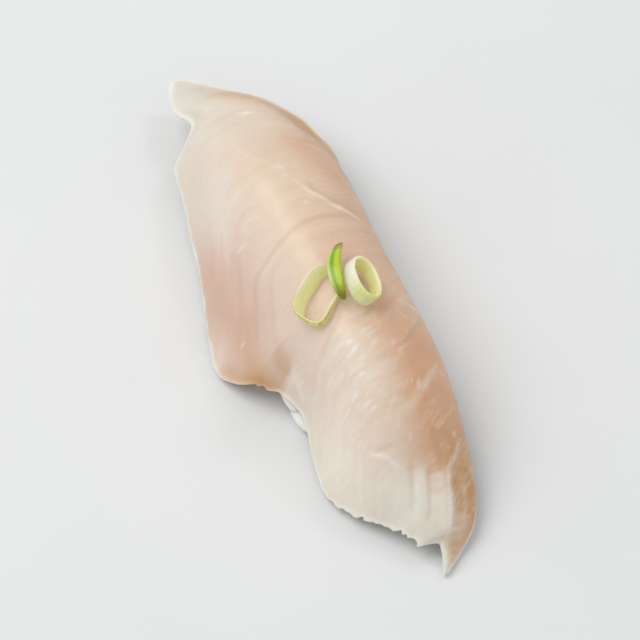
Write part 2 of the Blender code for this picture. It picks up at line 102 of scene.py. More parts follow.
# Marks in the flesh. Each kind has a width, a rise (sunk where negative), how much paler (or, where it is
# negative, darker) it is, and its share of tan, which is partly painted shade. Each mark has its kind, its
# strength and the points that it runs through on the slice's plan.
MARK_KINDS = {
    "seam": (0.42, -0.09, -0.50, 0.0),
    "sinew": (0.38, 0.08, 0.58, 0.0),
    "stroke": (0.30, 0.07, 0.42, 0.0),
    # A crease is a real groove; its darkening is painted shade.
    "crease": (0.50, -0.20, -0.28, 0.0),
    "band": (1.05, 0.10, 0.50, 0.0),
    # Painted shade along the lobe's edge where it turns under, partly the flesh's own tan.
    "tan_edge_shade": (1.15, -0.02, -0.25, 0.55),
}
MARKS = [
    ("seam", 1.0, [(-2.6, 9.6), (-4.4, 7.6), (-5.4, 3.2), (-5.6, 0.2), (-5.3, -3.1), (-4.2, -7.4),
                   (-3.6, -9.8), (-1.8, -11.2), (2.2, -13.3), (5.7, -14.9)]),
    ("seam", 0.6, [(-11.4, -3.6), (-13.8, -6.2), (-13.4, -8.6), (-11.5, -10.0), (-7.3, -11.2),
                   (-3.0, -13.1), (2.6, -14.8)]),
    ("seam", 0.6, [(-3.0, -6.8), (-1.0, -8.6), (2.4, -10.2), (9.4, -13.2)]),
    ("sinew", 0.5, [(-10.6, -4.8), (-12.4, -6.9), (-11.3, -8.4)]),
    ("sinew", 0.3, [(-30.4, -3.0), (-25.4, -2.4), (-23.0, -1.7), (-20.3, -0.7), (-17.4, 1.4)]),
    ("seam", 1.0, [(-13.6, 3.8), (-10.6, 4.9), (-8.8, 6.2), (-6.9, 8.1), (-4.8, 10.2)]),
    ("sinew", 0.9, [(-14.8, 1.9), (-11.3, 3.4), (-8.7, 4.9), (-6.5, 6.6), (-4.6, 8.8), (-2.4, 10.4)]),
    ("seam", 0.8, [(10.4, -0.6), (11.3, -2.2), (13.0, -4.4), (14.1, -6.3), (15.4, -8.8)]),
    ("stroke", 0.8, [(15.2, 9.2), (17.8, 6.4), (19.5, 3.9), (20.4, 2.4)]),
    ("seam", 0.8, [(15.6, 10.0), (17.6, 7.6), (19.6, 5.2), (20.8, 3.2)]),
    ("stroke", 0.5, [(13.6, 5.4), (14.9, 6.4), (16.6, 7.2)]),
    ("stroke", 0.7, [(22.8, 9.0), (24.6, 6.9), (25.8, 5.6), (28.0, 3.2)]),
    ("stroke", 0.8, [(27.0, -0.9), (27.7, -1.9), (28.6, -3.2)]),
    ("stroke", 0.7, [(29.0, 8.8), (31.4, 6.0), (33.2, 2.4)]),
    # A painted glint, drawn as a stroke.
    ("stroke", 1.5, [(-33.0, 1.2), (-31.9, 3.0), (-31.0, 4.8)]),
    ("seam", 0.7, [(32.4, 2.9), (34.9, 2.1), (38.2, 1.5)]),
    ("sinew", 0.6, [(33.6, 7.2), (37.1, 4.2), (39.0, 1.6)]),
    ("crease", 0.8, [(32.0, -8.4), (32.8, -6.3), (33.1, -4.4)]),
    ("sinew", 1.2, [(31.4, -8.6), (32.7, -7.5), (34.1, -6.1), (35.4, -5.4), (36.4, -5.2)]),
    ("crease", 0.9, [(35.4, -2.4), (36.4, -3.0), (38.3, -3.9), (40.1, -4.9), (42.6, -6.0)]),
    ("crease", 1.0, [(36.9, -0.1), (37.8, -0.5), (39.7, -1.6), (42.2, -2.8), (44.9, -4.5)]),
    ("band", 1.0, [(36.0, -1.5), (37.2, -2.0), (39.2, -3.0), (41.6, -4.2), (44.4, -5.9)]),
    ("band", 1.0, [(37.2, 1.1), (38.5, 0.8), (41.2, 0.0), (43.7, -1.2), (46.6, -3.2)]),
    ("sinew", 0.8, [(38.0, 2.6), (41.0, 1.2), (43.6, 0.1), (46.6, -1.7)]),
    ("sinew", 0.35, [(40.4, 4.2), (43.9, 2.6), (46.4, 0.8)]),
    ("sinew", 0.9, [(11.4, -11.6), (13.2, -11.4), (16.4, -11.4)]),
    # Painted shade along the lobe's turned-under edge and at the notch, partly the flesh's own tan.
    ("tan_edge_shade", 1.0, [(0.6, -19.2), (3.4, -18.8), (6.4, -17.8), (9.0, -15.9), (11.2, -13.9), (12.8, -12.4)]),
    ("tan_edge_shade", 0.8, [(7.3, -12.6), (9.6, -12.3), (11.8, -12.1)]),
    ("crease", 0.5, [(8.8, -13.0), (10.8, -12.4), (12.2, -12.0)]),
]
MARK_FADE = 0.2  # a mark fades in and out over this share of its length
MARK_SWAY = (0.25, 1.6)  # reach and size
# Small wet ridges, whose paleness is a painted glint, as x, y and their turn against +X in degrees. Each is
# a few short ones side by side.
WET_GLINT_SPOTS = [
    (-32.6, 2.4, 40), (-31.4, 3.4, 40), (-16.4, 1.3, 60), (-9.6, 2.9, 50), (-7.2, 6.7, 75),
    (-6.0, 7.4, 60), (-12.6, -10.9, 100), (-10.2, -9.9, 80), (12.8, 8.2, 50), (13.5, 9.2, 70),
    (20.3, 2.9, -45), (-22.4, -5.8, 85), (2.4, -14.2, 95), (17.6, -8.6, 80), (25.4, 4.4, -50),
    (31.0, -1.4, -30), (-38.6, -1.2, 60), (34.6, 4.6, -40),
]
WET_RIDGES = 3  # in each spot
WET_TURN = 20  # degrees by which their turns differ at most
WET_SIZES = (0.6, 1.1)  # least and most, as shares of the length and the rise
WET_RIDGE_AND_GLINT = {"length": 0.70, "width": 0.26, "rise": 0.08, "spread": 0.9, "pale": 0.40}
# Fainter seams, which lean on the far side, one way at the tail and another at the head, and sweep forward
# down the near side. A sway is (reach, size), and the patches of what comes and goes are (mean, sway, size,
# least, most).
FAINT = {
    "spacing": 6.6, "width": 0.5, "rise": -0.035, "pale": -0.22, "leans": (0.35, -0.75), "sweep": 1.7,
    "sway": (2.2, 14.0), "patches": (0.45, 1.3, 7.0, 0.0, 1.0),
}
FAR_FROM = 1.0  # what leans on the far side does so from this y on
FAINT_TURN = (-10.0, 12.0)  # between these x the lean changes
FAINT_SWEEP_FROM = 9.0
BANDS = 0.18  # how much paler and darker the bands between seams are by turns
CLOUDS = (0.25, 8.0)  # large paler and darker clouds, as paleness and size
# Patches on the plan, as x, y, reach along the slice and across it, and strength: pinker, paler (some of
# them painted light), painted shade, thinner (so whitish and a little grey) and tan ones (mostly painted
# shade).
BLUSHES = [
    (-10.0, -13.6, 12.0, 4.1, 0.66), (-1.0, -15.0, 9.0, 4.0, 0.50), (3.0, 3.0, 15.0, 5.0, 0.35),
    (20.0, 4.0, 12.0, 4.5, 0.55), (28.0, 4.0, 6.0, 4.0, 0.34),
]
PALES = [
    # The second patch is a painted sheen on the near flank, the third painted light on the flesh inside the
    # ring's opening.
    (-34.0, -7.0, 8.0, 4.5, 0.40), (-19.0, -8.0, 8.0, 4.0, 0.50), (9.6, 1.2, 3.2, 2.4, 0.60),
    (18.0, -4.5, 6.0, 4.0, 0.36), (30.0, -12.2, 13.0, 3.3, 0.92), (40.0, -6.5, 7.0, 3.6, 0.95),
    (42.5, -2.0, 4.5, 2.6, 0.60), (48.6, -4.4, 3.0, 1.0, 0.60),
]
PAINTED_SHADES = [
    # Painted shade on the tail, where the light falls off, and low on the near flank.
    (-32.0, 2.0, 12.0, 8.0, 0.15), (-12.0, -15.5, 13.0, 4.5, 0.35),
]
THINS = [
    (-48.0, -1.8, 6.5, 6.0, 1.00), (-38.0, -4.5, 8.0, 5.0, 0.50), (-30.0, 0.0, 12.0, 6.0, 0.35),
    (-26.0, -11.0, 7.0, 2.5, 0.35), (42.0, -5.0, 6.0, 4.0, 0.35), (49.0, -4.6, 3.0, 1.2, 0.50),
]
# Mostly painted shade: at the lobe's corner where the edge turns under, on the head's far flank and tip,
# which turn from the light, and a little on the far side; partly the flesh's own tan.
TAN_AND_SHADE_PATCHES = [
    (7.0, -15.8, 6.0, 1.8, 0.55), (42.0, 4.0, 9.0, 3.2, 0.65), (49.0, -2.4, 3.5, 1.5, 0.45),
    (-8.0, 9.6, 9.0, 3.0, 0.15),
]
BLUSH_SWAY = (0.25, 6.0)
# Bands along the slice, as from x, to x, distance from the far edge (for the rim, from any edge), reach and
# strength: blush down the far side, partly painted warm reflected light, tan low on it that is mostly
# painted shade and warm reflected light, a stronger tan inside the tail's pale edge, painted shade where the
# surface turns from the light, and that edge itself, partly a painted highlight, as a line on the far side
# and as a rim round the tail's corner.
FAR_BLUSH_AND_REFLECTION = (-28.0, 43.0, 8.5, 8.0, 1.00)
FAR_TAN_AND_SHADE = (-36.0, 58.0, 3.5, 4.8, 0.52)
TAIL_TAN_AND_SHADE = (-50.0, -20.0, 3.0, 2.8, 0.75)
TAIL_LINE = (-60.0, -23.0, 0.2, 0.8, 0.75)
TAIL_RIM = (-60.0, -34.0, 0.2, 1.0, 0.80)
TAIL_RIM_DENSE = 0.4  # the rim of the tail's corner looks so much less thin
TAIL_RIM_SWAY = (0.5, 1.6)
BAND_FADE = 8.0  # a band fades in and out over this length
# The cut edge is paler, partly a painted highlight, except along the lobe's painted edge shade, and white in
# patches.
RIM_PALE = {"reach": 0.55, "patches": (1.0, 0.9, 2.0, 0.3, 2.0), "strength": 0.9, "less_where_edge_shaded": 0.8}
RIM_WHITE = (0.75, 1.5, 3.0, 0.2, 1.3)
# The near side's blush is pinker, and its cream takes a pinkish painted sheen.
ROSY_FROM, ROSY_REACH = -2.0, 8.0  # the near side's blush is pinker
# Short pale strokes on both sides of a line, in a paler stretch.
FEATHERS = {
    "line": ((13.0, -1.5), (33.0, -9.0)), "fade": 0.25, "reach": 4.4, "spacing": 1.25, "lean": 0.25,
    "sway": (0.9, 4.0), "patches": (0.30, 2.2, 1.5, 0.0, 1.3), "rise": 0.09, "pale": 0.50,
    "stretch_pale": 0.22,
}
# Fine lines across the slice, which lean back down its far side from an x on.
FIBRES = {
    "spacing": 0.95, "rise": 0.018, "pale": 0.11, "lean": 0.85, "lean_from": 8.0, "lean_fade": 8.0,
    "sway": (2.4, 11.0), "patches": (0.25, 1.6, 2.4, 0.0, 1.0),
}
RELIEF_FADE = 3.0  # the finer relief fades towards the edges over this distance
LUMPS = ((0.05, 2.2), (0.022, 0.9))  # unevenness of the surface, as height and size
TAIL_BUMPS = (0.25, 1.3)  # and of the rim of the tail's corner
# The torn stretches of the near edge, as from x, to x and how far they stray, and how the edges sway
# elsewhere: the far one most beside the tail, where it also has a step, as from x, to x and its depth.
TORN = [(6.5, 14.0, 0.45), (30.0, 46.6, 0.60), (40.5, 46.6, 0.50)]
TORN_FADES = (2.5, 1.2)
SWAY_LENGTH = 1.1
EDGE_SWAY = 0.14
TAIL_SWAY = 0.50
TAIL_SWAY_TO = -27.0
TAIL_SWAY_FADES = (2.0, 8.0)
TAIL_STEP = (-48.2, -43.0, -0.55)
TAIL_STEP_FADES = (0.4, 4.0)
SWAY_FINE = 0.55  # a finer sway on top has this share of its length and of its reach
SWAY_FADE = 1.1  # an edge's sway fades away from it over about this distance

# Rice grains.
GRAIN_LENGTH = 5.8
GRAIN_WIDTH = 2.6
GRAIN_SPACING = 2.15
GRAIN_RINGS = 9
GRAIN_SIDES = 12
GRAIN_LONGER = (0.86, 1.08)  # how far grains differ in length and in width, as shares
GRAIN_WIDER = (0.9, 1.08)
GRAIN_FORM = {"roundness": 0.8, "blunter": 0.035, "bend": 0.05, "height": 0.86}
GRAIN_TILT = 0.12
GRAIN_SKIN = 0.25  # how far a lying grain may stand out of the solid
GRAIN_SUNK = 0.43  # its middle lies deeper than its skin by this share of its width
GRAIN_TRIES = 9000
GRAIN_GAP = 0.1  # between a grain and the slice, measured at one in so many of its points
GRAIN_MEASURED = 5
GRAIN_FLOOR = 0.02
GRAIN_TOP = 0.2  # a grain on top lies where the solid faces upwards by at least this
GRAIN_PUSH = 1.5  # and is pushed down out of the slice if it reaches into it by less than this
CORE_SHRINK = 1.3
CORE_FLOOR = 0.35
CORE_BUMPS = {"height": 0.25, "fineness": 22}
CORE_START = {"spread": 0.35, "height": 0.7}  # its points are cast outwards from within these shares
CORE_SHADE = 0.3
# The grains that stand out beside the slice's notch: x, y, z and their rise along +X in degrees.
NOTCH_GRAINS = [(13.8, -10.9, 2.7, 12.0), (12.3, -12.0, 3.2, -14.0), (15.5, -11.8, 1.95, -8.0)]
SEED = 11

# Scallion: its veins, the sway of its walls and cut rims, and how deep the curl is hollow.
VEIN_RISE = 0.014
RING_VEINS = {"coarse": 31, "fine": 53, "fine_share": 0.6, "sway": 2.5, "sways": 3}
CURL_VEINS = {"count": 16, "sway": (2.0, 2.5)}
WALL_SWAY = (0.07, 2.2)
RIM_SWAY = (0.08, 1.6)
CURL_HOLLOW = {"depth": 0.45, "from": -0.2, "over": 0.6}  # it deepens as the surface faces upwards
CURL_NARROWEST = 0.02  # at its tips, as a share of its squared width
WELD = 0.01  # corners of the solids this close are one
JOIN_BEND = 60.0  # and triangles that bend by fewer degrees are joined before they are rounded

# Colours of the flesh: cream and its clouds, both pinker on the near side, where the pinker cream is a
# painted sheen, and its kinds of patch.
FLESH_LOOKS = {
    "cream": (0.79, 0.61, 0.45), "cloud": (0.82, 0.66, 0.50), "sheen_cream": (0.80, 0.64, 0.53),
    "blush": (0.74, 0.42, 0.25), "rosy_blush": (0.68, 0.43, 0.32), "tan_and_shade": (0.60, 0.335, 0.15),
    "pale": (0.87, 0.79, 0.67), "thin": (0.69, 0.70, 0.63), "white": (0.93, 0.89, 0.81),
    "shade": (0.55, 0.36, 0.25),
}
RICE_LOOKS = {"dull": (0.85, 0.80, 0.69), "bright": (0.93, 0.90, 0.82), "cloud": (0.95, 0.93, 0.88)}
GREENER_SIDE = (0.883, -0.469, 0.0)  # the way to where both rings are greener
OVAL_LOOKS = {
    "skin": (0.40, 0.36, 0.07), "skin_low": (0.74, 0.70, 0.32), "low": (0.46, 0.42, 0.10),
    "inside": (0.92, 0.88, 0.42), "inside_low": (0.93, 0.86, 0.46), "rim": (0.90, 0.84, 0.52),
    "rim_low": (0.84, 0.80, 0.42), "patch": (0.92, 0.87, 0.54), "vein": (0.94, 0.91, 0.66),
}
RING_LOOKS = {
    "skin": (0.90, 0.93, 0.76), "skin_low": (0.82, 0.88, 0.56), "low": (0.56, 0.60, 0.15),
    "inside": (0.86, 0.80, 0.34), "inside_low": (0.86, 0.77, 0.34), "rim": (0.89, 0.88, 0.52),
    "rim_low": (0.72, 0.74, 0.26), "patch": (0.88, 0.86, 0.62), "vein": (0.93, 0.94, 0.86),
}
# The pale edge is a painted highlight and the olive edge partly painted shade, over the leaf's own greens.
CURL_LIT_AND_SHADED_BANDS = [  # colours across the leaf, from its pale edge to its olive one
    (-1.0, (0.56, 0.68, 0.26)), (-0.70, (0.48, 0.62, 0.12)), (-0.40, (0.19, 0.30, 0.006)),
    (-0.15, (0.27, 0.41, 0.006)), (0.1, (0.46, 0.59, 0.008)), (0.5, (0.52, 0.62, 0.020)),
    (0.8, (0.36, 0.41, 0.012)), (1.0, (0.28, 0.30, 0.020)),
]
CURL_TIPS = (0.22, 0.18, 0.012)
CURL_STREAK = (0.46, 0.62, 0.06)

# A plain pale floor, a pale sky, and soft lights as name, place, size and power.
FLOOR_REACH = 3.0
FLOOR_LOOKS = ((0.80, 0.80, 0.79), (0.83, 0.83, 0.82))
FLOOR_ROUGHNESS = 0.7
SKY_COLOUR = (0.95, 0.97, 1.0, 1.0)
SKY_STRENGTH = 0.60
LIGHTS = [
    ("key", (-0.33, -0.34, 0.78), 0.74, 3.9),
    ("window", (-0.10, 0.36, 0.50), 0.10, 0.25),
]

# The camera looks from the photograph's side and height, at the middle of the whole.
VIEW_AZIMUTH = 62.0
VIEW_ELEVATION = 59.6
VIEW_LENS = 300.0
VIEW_DISTANCE = 0.862
VIEW_CLIP = 0.01
VIEW_MIDDLE = (4.5, -2.7, 9.0)


def smooth_step(t):
    t = np.clip(t, 0.0, 1.0)
    return t * t * (3.0 - 2.0 * t)


def between(x, start, end, fade_in, fade_out):
    """1 between start and end and 0 outside, with a smooth fade just inside each."""
    return smooth_step((x - start) / fade_in) * smooth_step((end - x) / fade_out)


def limited_slope(a, b):
    """The slope between two straight runs of slope a and b: none at a peak, or their harmonic mean."""
    return 0.0 if a * b <= 0 else 2 * a * b / (a + b)


def along(rows, x):
    """The values of rows at x, on a smooth curve through them that doesn't overshoot."""
    last = len(rows) - 1
    x = min(max(x, rows[0][0]), rows[-1][0])
    i = next((k for k in range(last) if x <= rows[k + 1][0]), last - 1)
    span = rows[i + 1][0] - rows[i][0]
    t = (x - rows[i][0]) / span
    values = []
    for k in range(1, len(rows[0])):
        slopes = [
            (rows[j + 1][k] - rows[j][k]) / (rows[j + 1][0] - rows[j][0])
            for j in (max(i - 1, 0), i, min(i + 1, last - 1))
        ]
        before = limited_slope(slopes[0], slopes[1])
        after = limited_slope(slopes[1], slopes[2])
        values.append(
            rows[i][k] * (1 + 2 * t) * (1 - t) ** 2
            + before * span * t * (1 - t) ** 2
            + rows[i + 1][k] * t * t * (3 - 2 * t)
            + after * span * t * t * (t - 1)
        )
    return values


def swayed(x, shift):
    """An edge's unevenness at x, from about -1 to 1, coarse with a finer one on top."""
    coarse = noise.noise(Vector((x / SWAY_LENGTH, 0.0, shift)))
    fine = noise.noise(Vector((x / SWAY_LENGTH / SWAY_FINE, 5.0, shift)))
    return coarse + SWAY_FINE * fine


def near_sway(x):
    """How far the near edge strays at x: most of all where it is torn."""
    reach = EDGE_SWAY
    for start, end, stray in TORN:
        reach += stray * float(between(x, start, end, *TORN_FADES))
    return reach * swayed(x, 7.0)


def far_sway(x):
    """How far the far edge strays at x: most of all beside the tail."""
    tail = float(between(x, CREST[0][0], TAIL_SWAY_TO, *TAIL_SWAY_FADES))
    start, end, depth = TAIL_STEP
    step = depth * float(between(x, start, end, *TAIL_STEP_FADES))
    return (EDGE_SWAY + tail * (TAIL_SWAY - EDGE_SWAY)) * swayed(x, 17.0) + step


def side_of_arch(rows, x, outwards):
    """The slice's fall at x from its crest to one edge as (y, z), from the edge up."""
    *edge, flare = along(rows, x)
    edge, crest, angle = np.array(edge), np.array(along(CREST, x)), math.radians(flare)
    climb = (crest[1] - edge[1]) * FALL
    up_from_edge = edge + np.array((-outwards * math.sin(angle), math.cos(angle))) * climb
    shoulder = min(abs(crest[0] - edge[0]) * SHOULDER, SHOULDER_WIDEST)
    level = crest + np.array((outwards * shoulder, 0.0))
    t = np.linspace(0.0, 1.0, CURVE_STEPS + 1)[:, None]
    low_part = edge * (1 - t) ** 3 + up_from_edge * 3 * t * (1 - t) ** 2
    return low_part + level * 3 * t * t * (1 - t) + crest * t ** 3


def section(x):
    """ACROSS + 1 points over the slice at x, and how far each lies from the near edge."""
    line = np.vstack((side_of_arch(NEAR_EDGE, x, -1), side_of_arch(FAR_EDGE, x, 1)[::-1][1:]))
    reach = np.concatenate(([0.0], np.cumsum(np.hypot(*np.diff(line, axis=0).T))))
    even = np.linspace(0.0, reach[-1], ACROSS + 1)
    swayed_reach = even - near_sway(x) * np.exp(-even / SWAY_FADE)
    swayed_reach += far_sway(x) * np.exp((even - reach[-1]) / SWAY_FADE)
    beyond_near, beyond_far = np.minimum(swayed_reach, 0), np.maximum(swayed_reach - reach[-1], 0)
    start_way = (line[1] - line[0]) / reach[1]
    end_way = (line[-1] - line[-2]) / (reach[-1] - reach[-2])
    spots = [np.full(ACROSS + 1, x)]
    for k in (0, 1):
        on_line = np.interp(swayed_reach, reach, line[:, k])
        spots.append(on_line + beyond_near * start_way[k] + beyond_far * end_way[k])
    return np.column_stack(spots), even


def noise_at(points, size, shift):
    """Smooth noise at each point, from about -1 to 1, with lumps of a size and a pattern for each shift."""
    flat = points.reshape(-1, 3) / size + shift
    return np.array([noise.noise(p) for p in flat.tolist()]).reshape(points.shape[:-1])


def sway_of(points, sway, shift):
    """How far each point is swayed."""
    reach, size = sway
    return reach * noise_at(points, size, shift)


def patchy(points, patches, shift):
    """A strength that comes and goes over the surface."""
    mean, sway, size, least, most = patches
    return np.clip(mean + sway * noise_at(points, size, shift), least, most)


def beside_line(x, y, line):
    """How far each point lies to the left of a line, and its share of the way along it."""
    (x0, y0), (x1, y1) = line
    length = math.hypot(x1 - x0, y1 - y0)
    aside = ((x1 - x0) * (y - y0) - (y1 - y0) * (x - x0)) / length
    share = ((x1 - x0) * (x - x0) + (y1 - y0) * (y - y0)) / length ** 2
    return aside, share


def flake_drop(x, y):
    """How much lower the surface lies beyond the edge of the head's top flake."""
    beyond, share = beside_line(x, y, FLAKE_EDGE)
    fade = 1 - smooth_step((beyond - FLAKE_WIDTH) / FLAKE_RUN)
    return FLAKE_DROP * smooth_step(beyond / FLAKE_WIDTH) * fade * smooth_step(share / FLAKE_START)


def smooth_path(points, steps=5):
    """Points on a smooth curve through the given ones."""
    known = np.array([points[0], *points, points[-1]], float)
    path = []
    for a, b, c, d in zip(known, known[1:], known[2:], known[3:]):
        for t in np.arange(steps) / steps:
            bend = (2 * a - 5 * b + 4 * c - d) * t * t + (3 * b - a - 3 * c + d) * t ** 3
            path.append(b + ((c - a) * t + bend) / 2)
    return np.array(path + [known[-1]])


def mark_weight(x, y, through, width):
    """How strongly each point lies on a mark, which fades out at both ends."""
    path = smooth_path(through)
    steps = np.diff(path, axis=0)
    lengths = np.hypot(steps[:, 0], steps[:, 1])
    reached = np.concatenate(([0.0], np.cumsum(lengths)))
    nearest, share = np.full(x.shape, np.inf), np.zeros(x.shape)
    for start, step, length, before in zip(path, steps, lengths, reached):
        t = np.clip(((x - start[0]) * step[0] + (y - start[1]) * step[1]) / length ** 2, 0, 1)
        distance = np.hypot(x - start[0] - t * step[0], y - start[1] - t * step[1])
        closer = distance < nearest
        nearest = np.where(closer, distance, nearest)
        share = np.where(closer, (before + t * length) / reached[-1], share)
    return between(share, 0.0, 1.0, MARK_FADE, MARK_FADE) * np.exp(-(nearest / width) ** 2)


def patch_weight(x, y, patches):
    """How strongly each point lies in patches of one kind."""
    total = np.zeros(x.shape)
    for px, py, reach_x, reach_y, strength in patches:
        total += strength * np.exp(-(((x - px) / reach_x) ** 2) - ((y - py) / reach_y) ** 2)
    return total


def ripples(points, lines, lean, shifts):
    """Lines across the slice, as (their turns up to each point, how strong they are there)."""
    turns = (points[..., 0] + lean + sway_of(points, lines["sway"], shifts[0])) / lines["spacing"]
    return turns, patchy(points, lines["patches"], shifts[1])


def feather_weight(points):
    """The short pale strokes, as (the stretch they lie in, how strong each one is)."""
    x, y = points[..., 0], points[..., 1]
    aside, share = beside_line(x, y, FEATHERS["line"])
    stretch = between(share, 0.0, 1.0, FEATHERS["fade"], FEATHERS["fade"])
    stretch *= np.exp(-((aside / FEATHERS["reach"]) ** 2))
    turns, strength = ripples(points, FEATHERS, FEATHERS["lean"] * y, (0.0, 5.0))
    ridge = (0.5 + 0.5 * np.cos(2 * math.pi * turns)) ** 2
    return stretch, stretch * ridge * strength


def faint_seams(points):
    """The fainter seams, as (how strong each one is, the turns of the bands between them)."""
    x, y = points[..., 0], points[..., 1]
    lean = np.interp(x, FAINT_TURN, FAINT["leans"]) * np.maximum(y - FAR_FROM, 0.0)
    sweep = FAINT["sweep"] * np.maximum(-y - FAINT_SWEEP_FROM, 0.0)
    turns, strength = ripples(points, FAINT, -lean - sweep, (4.0, 8.0))
    aside = np.abs(turns - np.round(turns)) * FAINT["spacing"]
    return strength * np.exp(-(aside / FAINT["width"]) ** 2), np.cos(4 * math.pi * turns) * strength


def fibre_waves(points):
    """The fine lines across the slice, from -1 to 1."""
    x, y = points[..., 0], points[..., 1]
    lean = FIBRES["lean"] * np.maximum(y - FAR_FROM, 0.0)
    lean *= smooth_step((x - FIBRES["lean_from"]) / FIBRES["lean_fade"])
    turns, strength = ripples(points, FIBRES, lean, (2.0, 9.0))
    return np.sin(2 * math.pi * turns) * strength


def outer_surface():
    """The slice's top surface before its relief, and each point's distances from its near and far edges."""
    tail, head = CREST[0][0], CREST[-1][0]
    rows, near, far = [], [], []
    for i in range(ALONG + 1):
        even = i / ALONG
        crowded = (1 - math.cos(math.pi * even)) / 2
        row, reach = section(tail + (head - tail) * (even + crowded) / 2)
        rows.append(row)
        near.append(reach)
        far.append(reach[-1] - reach)
    points, near, far = np.array(rows), np.array(near), np.array(far)
    depth = np.minimum(near, far)
    points[..., 2] += smooth_step(depth / WAVE_FADE) * sway_of(points, WAVE, 0.0)
    points[..., 2] -= flake_drop(points[..., 0], points[..., 1])
    return points, near, far


def unit(vectors):
    return vectors / np.maximum(np.linalg.norm(vectors, axis=-1, keepdims=True), 1e-9)


def drawn_marks(x, y):
    """What the drawn marks give each point: relief, paleness, tan, and how much it lies in the lobe's
    painted edge shade.
    """
    relief, pale, tan_and_shade, edge_shade = np.zeros((4, *x.shape))
    for kind, strength, through in MARKS:
        width, rise, paler, tanned = MARK_KINDS[kind]
        weight = strength * mark_weight(x, y, through, width)
        relief += rise * weight
        pale += paler * weight
        tan_and_shade += tanned * weight
        if kind == "tan_edge_shade":
            edge_shade = np.maximum(edge_shade, weight)
    return relief, pale, tan_and_shade, np.clip(edge_shade, 0, 1)


def pale_rims(points, x, edge, far, edge_shade):
    """How pale the cut edges are, partly a painted highlight, as (all round, in the tail's corner)."""
    reach = RIM_PALE["reach"] * patchy(points, RIM_PALE["patches"], 15.0)
    rim = RIM_PALE["strength"] * np.exp(-(edge / reach) ** 2)
    rim *= 1 - RIM_PALE["less_where_edge_shaded"] * edge_shade
    stray = sway_of(points, TAIL_RIM_SWAY, 21.0)
    rim = np.maximum(rim, side_band(x, far + stray, TAIL_LINE))
    return rim, side_band(x, edge + stray, TAIL_RIM)


def flesh_marks(points, near, far):
    """Each point's relief in millimetres, and its shares of each colour by name."""
    x = points[..., 0] + sway_of(points, MARK_SWAY, 1.0)
    y = points[..., 1] + sway_of(points, MARK_SWAY, 6.0)
    edge = np.minimum(near, far)
    stretch, feathers = feather_weight(points)
    seams, bands = faint_seams(points)
    fibres, wet_glint = fibre_waves(points), wet_glint_weight(points)
    mark_relief, mark_pale, mark_tan_and_shade, edge_shade = drawn_marks(x, y)
    rim, tail_rim = pale_rims(points, x, edge, far, edge_shade)

    relief = FEATHERS["rise"] * feathers + FIBRES["rise"] * fibres + FAINT["rise"] * seams
    relief += sum(sway_of(points, lumps, 11.0) for lumps in LUMPS)
    relief *= smooth_step(edge / RELIEF_FADE)
    relief += mark_relief + WET_RIDGE_AND_GLINT["rise"] * wet_glint
    relief += tail_rim * sway_of(points, TAIL_BUMPS, 25.0)

    pale = FEATHERS["pale"] * feathers + FIBRES["pale"] * fibres + FAINT["pale"] * seams + BANDS * bands
    pale += FEATHERS["stretch_pale"] * stretch + sway_of(points, CLOUDS, 12.0)
    # The wet ridges' paleness is a painted glint.
    pale += mark_pale + WET_RIDGE_AND_GLINT["pale"] * wet_glint + patch_weight(x, y, PALES) - patch_weight(x, y, PAINTED_SHADES)
    pale += rim + tail_rim
    # Tan: mostly painted shade where the surface turns away or under, and painted warm reflected light low
    # on the far side, over the flesh's own tan.
    tan_and_shade = mark_tan_and_shade + patch_weight(x, y, TAN_AND_SHADE_PATCHES) + side_band(x, far, TAIL_TAN_AND_SHADE) + side_band(x, far, FAR_TAN_AND_SHADE)
    tan_and_shade *= 1 - np.clip(rim + tail_rim, 0, 1)
    # The far side's blush is partly painted warm reflected light.
    blush = patch_weight(x, y, BLUSHES) + side_band(x, far, FAR_BLUSH_AND_REFLECTION)
    blush *= 1 + sway_of(points, BLUSH_SWAY, 3.0)
    shares = {
        "pale": pale,
        "blush": blush,
        "tan_and_shade": tan_and_shade,
        "thin": patch_weight(x, y, THINS) - TAIL_RIM_DENSE * tail_rim,
        "rosy": smooth_step((ROSY_FROM - y) / ROSY_REACH),
        "white": (rim + tail_rim) * patchy(points, RIM_WHITE, 31.0),
    }
    return relief, {name: np.clip(share, -1, 1) for name, share in shares.items()}


def wet_glint_weight(points):
    """How strongly each point lies on one of the small wet ridges, which carry a painted glint."""
    picker = random.Random(SEED)
    total = np.zeros(points.shape[:-1])
    for x, y, turn in WET_GLINT_SPOTS:
        for _ in range(WET_RIDGES):
            angle = math.radians(turn + picker.uniform(-WET_TURN, WET_TURN))
            cosine, sine = math.cos(angle), math.sin(angle)
            size = picker.uniform(*WET_SIZES)
            away_x = points[..., 0] - x - picker.gauss(0, WET_RIDGE_AND_GLINT["spread"])
            away_y = points[..., 1] - y - picker.gauss(0, WET_RIDGE_AND_GLINT["spread"])
            lengthwise = (away_x * cosine + away_y * sine) / WET_RIDGE_AND_GLINT["length"] / size
            sideways = (away_y * cosine - away_x * sine) / WET_RIDGE_AND_GLINT["width"]
            total += size * np.exp(-lengthwise ** 2 - sideways ** 2)
    return total


def side_band(x, distance, band):
    """How strongly each point, at a distance from an edge, lies in a band along it."""
    start, end, middle, reach, strength = band
    lengthwise = between(x, start, end, BAND_FADE, BAND_FADE)
    return strength * lengthwise * np.exp(-(((distance - middle) / reach) ** 2))


def perimeter():
    """The grid's border as (i, j), once round."""
    loop = [(i, 0) for i in range(ALONG)]
    loop += [(ALONG, j) for j in range(ACROSS)]
    loop += [(i, ACROSS) for i in range(ALONG, 0, -1)]
    loop += [(0, j) for j in range(ACROSS, 0, -1)]
    return np.array(loop)


